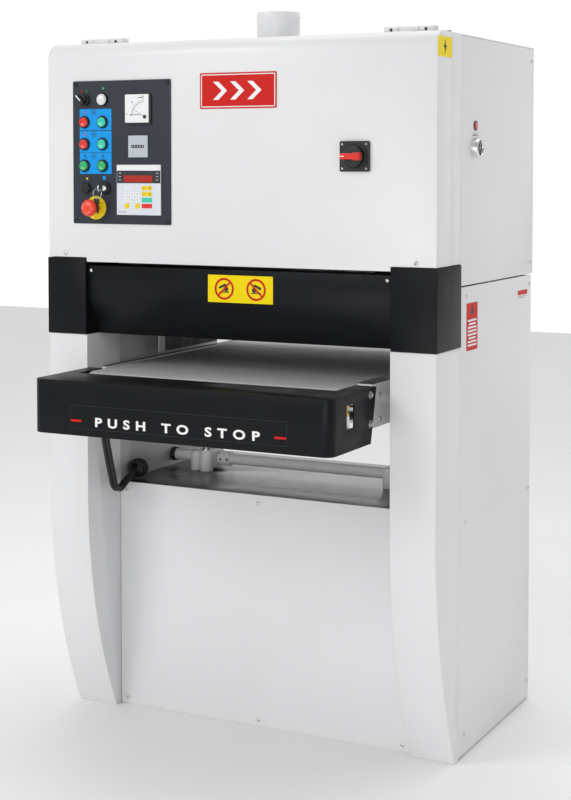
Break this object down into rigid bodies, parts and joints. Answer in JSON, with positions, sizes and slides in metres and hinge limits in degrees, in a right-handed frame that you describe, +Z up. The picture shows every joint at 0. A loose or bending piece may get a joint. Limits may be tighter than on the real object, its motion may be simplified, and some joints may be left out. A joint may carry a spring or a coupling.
{
  "type": "wide-belt sander",
  "caption": "Floor-standing wide-belt sanding machine with an open throat, a rising conveyor feed table, a head holding drum and belt, a hinged control door and a push-to-stop bar.",
  "frame": {"origin": "middle of the base's underside, on the floor", "axes": "+Z up; the operator stands at -Y and feeds work towards +Y; +X is the operator's right"},
  "size_m": [1.0405, 0.998, 1.733],
  "materials": {
    "white_paint": "light grey-white powder coat with a fine orange peel, semi-gloss",
    "black_paint": "charcoal semi-gloss paint on folded sheet steel",
    "slate_paint": "slate grey anodised-look instrument plate, satin",
    "frame_paint": "mid grey machine enamel, satin",
    "dark_steel": "dark oiled sheet steel, satin",
    "steel": "turned bare steel, satin",
    "drum_rubber": "ground rubber cover on a steel core, matt",
    "abrasive": "coated abrasive cloth, gritty and matt",
    "feed_belt": "grey rough-top conveyor belt, matt",
    "black_rubber": "black rubber, matt",
    "motor_paint": "grey-blue motor enamel, satin",
    "chrome": "polished chrome bezel and key",
    "red_plastic": "glossy red moulded plastic",
    "green_plastic": "glossy green translucent push-button cap",
    "black_plastic": "black moulded plastic, satin",
    "yellow_plastic": "yellow moulded plastic and label film",
    "blue_film": "blue printed label film",
    "brass": "turned brass",
    "white_plastic": "off-white instrument plastic"
  },
  "bodies": {
    "root": {"base_cabinet": "dark_steel", "column_left": "frame_paint", "column_right": "frame_paint", "lower_front_panel": "white_paint", "side_panel_left": "white_paint", "side_panel_right": "white_paint", "leg_fairing_left": "white_paint", "leg_fairing_right": "white_paint", "corner_cap_left": "black_paint", "corner_cap_right": "black_paint", "front_hood": "black_paint", "cable_gland": "black_plastic", "head_cabinet": "white_paint", "head_side_panel": "white_paint", "head_beam": "frame_paint", "belt_lock_block": "dark_steel", "sanding_belt": "abrasive", "dust_chute": "dark_steel", "dust_port": "white_paint", "hinge_left": "white_paint", "hinge_right": "white_paint", "tension_gauge": "chrome", "drive_motor": "motor_paint", "drive_belt": "black_rubber", "jack_gearbox_left": "steel", "jack_gearbox_right": "steel"},
    "front_door": {"front_door": "white_paint", "control_panel": "slate_paint", "ammeter": "white_plastic", "digital_controller": "white_plastic", "isolator_base": "black_plastic"},
    "side_door": {"side_door": "white_paint"},
    "feed_table": {"table_frame": "frame_paint", "feed_belt": "feed_belt", "feed_gearmotor": "motor_paint", "jack_screw_left": "steel", "jack_screw_right": "steel", "stop_cable": "black_rubber"},
    "feed_roller_front": {"feed_roller_front": "steel"},
    "feed_roller_rear": {"feed_roller_rear": "drum_rubber"},
    "stop_bar": {"stop_bar": "black_paint"},
    "cross_shaft": {"cross_shaft": "steel"},
    "contact_drum": {"contact_drum": "drum_rubber"},
    "motor_pulley": {"motor_pulley": "dark_steel"},
    "tension_yoke": {"tension_yoke": "frame_paint"},
    "tension_roller": {"tension_roller": "steel"},
    "pressure_beam_front": {"pressure_beam_front": "dark_steel"},
    "pressure_roller_front": {"pressure_roller_front": "steel"},
    "pressure_beam_rear": {"pressure_beam_rear": "dark_steel"},
    "pressure_roller_rear": {"pressure_roller_rear": "steel"},
    "selector_knob": {"selector_knob": "black_plastic"},
    "key_switch": {"key_switch": "chrome"},
    "emergency_stop_button": {"emergency_stop_button": "red_plastic"},
    "isolator_handle": {"isolator_handle": "red_plastic"},
    "stop_button_upper": {"stop_button_upper": "red_plastic"},
    "start_button_upper": {"start_button_upper": "green_plastic"},
    "stop_button_middle": {"stop_button_middle": "red_plastic"},
    "start_button_middle": {"start_button_middle": "green_plastic"},
    "table_up_button": {"table_up_button": "green_plastic"},
    "table_down_button": {"table_down_button": "green_plastic"}
  },
  "joints": [
    {"name": "front_door_hinge", "type": "hinge", "parent": "root", "child": "front_door", "pos_m": [0, -0.307, 1.6665], "axis": [-1, 0, 0], "range_deg": [0, 80]},
    {"name": "side_door_hinge", "type": "hinge", "parent": "root", "child": "side_door", "pos_m": [-0.5105, 0.2572, 1.37], "axis": [0, 0, -1], "range_deg": [0, 110]},
    {"name": "table_lift", "type": "slide", "parent": "root", "child": "feed_table", "axis": [0, 0, 1], "range_m": [-0.085, 0.052], "deforming": ["stop_cable"]},
    {"name": "feed_roller_rear_spin", "type": "hinge", "parent": "feed_table", "child": "feed_roller_rear", "pos_m": [0, 0.3115, 0.8344], "axis": [1, 0, 0], "continuous": true},
    {"name": "feed_roller_front_spin", "type": "hinge", "parent": "feed_table", "child": "feed_roller_front", "pos_m": [0, -0.4555, 0.8344], "axis": [1, 0, 0], "continuous": true},
    {"name": "stop_bar_push", "type": "slide", "parent": "feed_table", "child": "stop_bar", "axis": [0, 1, 0], "range_m": [0, 0.01], "stiffness_N_per_m": 3000},
    {"name": "cross_shaft_turn", "type": "hinge", "parent": "root", "child": "cross_shaft", "pos_m": [0, 0.0025, 0.597], "axis": [1, 0, 0], "range_deg": [-3080, 1900]},
    {"name": "drum_spin", "type": "hinge", "parent": "root", "child": "contact_drum", "pos_m": [0, 0, 1.008], "axis": [1, 0, 0], "continuous": true},
    {"name": "motor_spin", "type": "hinge", "parent": "root", "child": "motor_pulley", "pos_m": [0, 0, 0.15], "axis": [1, 0, 0], "continuous": true},
    {"name": "belt_tension", "type": "slide", "parent": "root", "child": "tension_yoke", "axis": [0, 0, 1], "range_m": [-0.012, 0]},
    {"name": "tension_roller_spin", "type": "hinge", "parent": "tension_yoke", "child": "tension_roller", "pos_m": [0, 0, 1.5695], "axis": [1, 0, 0], "continuous": true},
    {"name": "pressure_front_rise", "type": "slide", "parent": "root", "child": "pressure_beam_front", "axis": [0, 0, 1], "range_m": [0, 0.005], "stiffness_N_per_m": 20000},
    {"name": "pressure_front_spin", "type": "hinge", "parent": "pressure_beam_front", "child": "pressure_roller_front", "pos_m": [0, -0.125, 0.952], "axis": [1, 0, 0], "continuous": true},
    {"name": "pressure_rear_rise", "type": "slide", "parent": "root", "child": "pressure_beam_rear", "axis": [0, 0, 1], "range_m": [0, 0.005], "stiffness_N_per_m": 20000},
    {"name": "pressure_rear_spin", "type": "hinge", "parent": "pressure_beam_rear", "child": "pressure_roller_rear", "pos_m": [0, 0.125, 0.952], "axis": [1, 0, 0], "continuous": true},
    {"name": "selector_turn", "type": "hinge", "parent": "front_door", "child": "selector_knob", "pos_m": [-0.402, -0.41, 1.521], "axis": [0, 1, 0], "range_deg": [0, 90]},
    {"name": "key_turn", "type": "hinge", "parent": "front_door", "child": "key_switch", "pos_m": [-0.343, -0.41, 1.308], "axis": [0, 1, 0], "range_deg": [0, 90]},
    {"name": "isolator_turn", "type": "hinge", "parent": "front_door", "child": "isolator_handle", "pos_m": [0.3165, -0.41, 1.383], "axis": [0, 1, 0], "range_deg": [-90, 0]},
    {"name": "emergency_stop_press", "type": "slide", "parent": "front_door", "child": "emergency_stop_button", "axis": [0, 1, 0], "range_m": [0, 0.006], "stiffness_N_per_m": 800},
    {"name": "stop_button_upper_press", "type": "slide", "parent": "front_door", "child": "stop_button_upper", "axis": [0, 1, 0], "range_m": [0, 0.0035], "stiffness_N_per_m": 400},
    {"name": "start_button_upper_press", "type": "slide", "parent": "front_door", "child": "start_button_upper", "axis": [0, 1, 0], "range_m": [0, 0.0035], "stiffness_N_per_m": 400},
    {"name": "stop_button_middle_press", "type": "slide", "parent": "front_door", "child": "stop_button_middle", "axis": [0, 1, 0], "range_m": [0, 0.0035], "stiffness_N_per_m": 400},
    {"name": "start_button_middle_press", "type": "slide", "parent": "front_door", "child": "start_button_middle", "axis": [0, 1, 0], "range_m": [0, 0.0035], "stiffness_N_per_m": 400},
    {"name": "table_up_button_press", "type": "slide", "parent": "front_door", "child": "table_up_button", "axis": [0, 1, 0], "range_m": [0, 0.0035], "stiffness_N_per_m": 400},
    {"name": "table_down_button_press", "type": "slide", "parent": "front_door", "child": "table_down_button", "axis": [0, 1, 0], "range_m": [0, 0.0035], "stiffness_N_per_m": 400}
  ],
  "couplings": [
    {"joint": "motor_spin", "follows": "drum_spin", "ratio": 0.73333},
    {"joint": "tension_roller_spin", "follows": "drum_spin", "ratio": 1.5},
    {"joint": "feed_roller_front_spin", "follows": "feed_roller_rear_spin", "ratio": 1},
    {"joint": "cross_shaft_turn", "follows": "table_lift", "rad_per_m": 628.32}
  ]
}
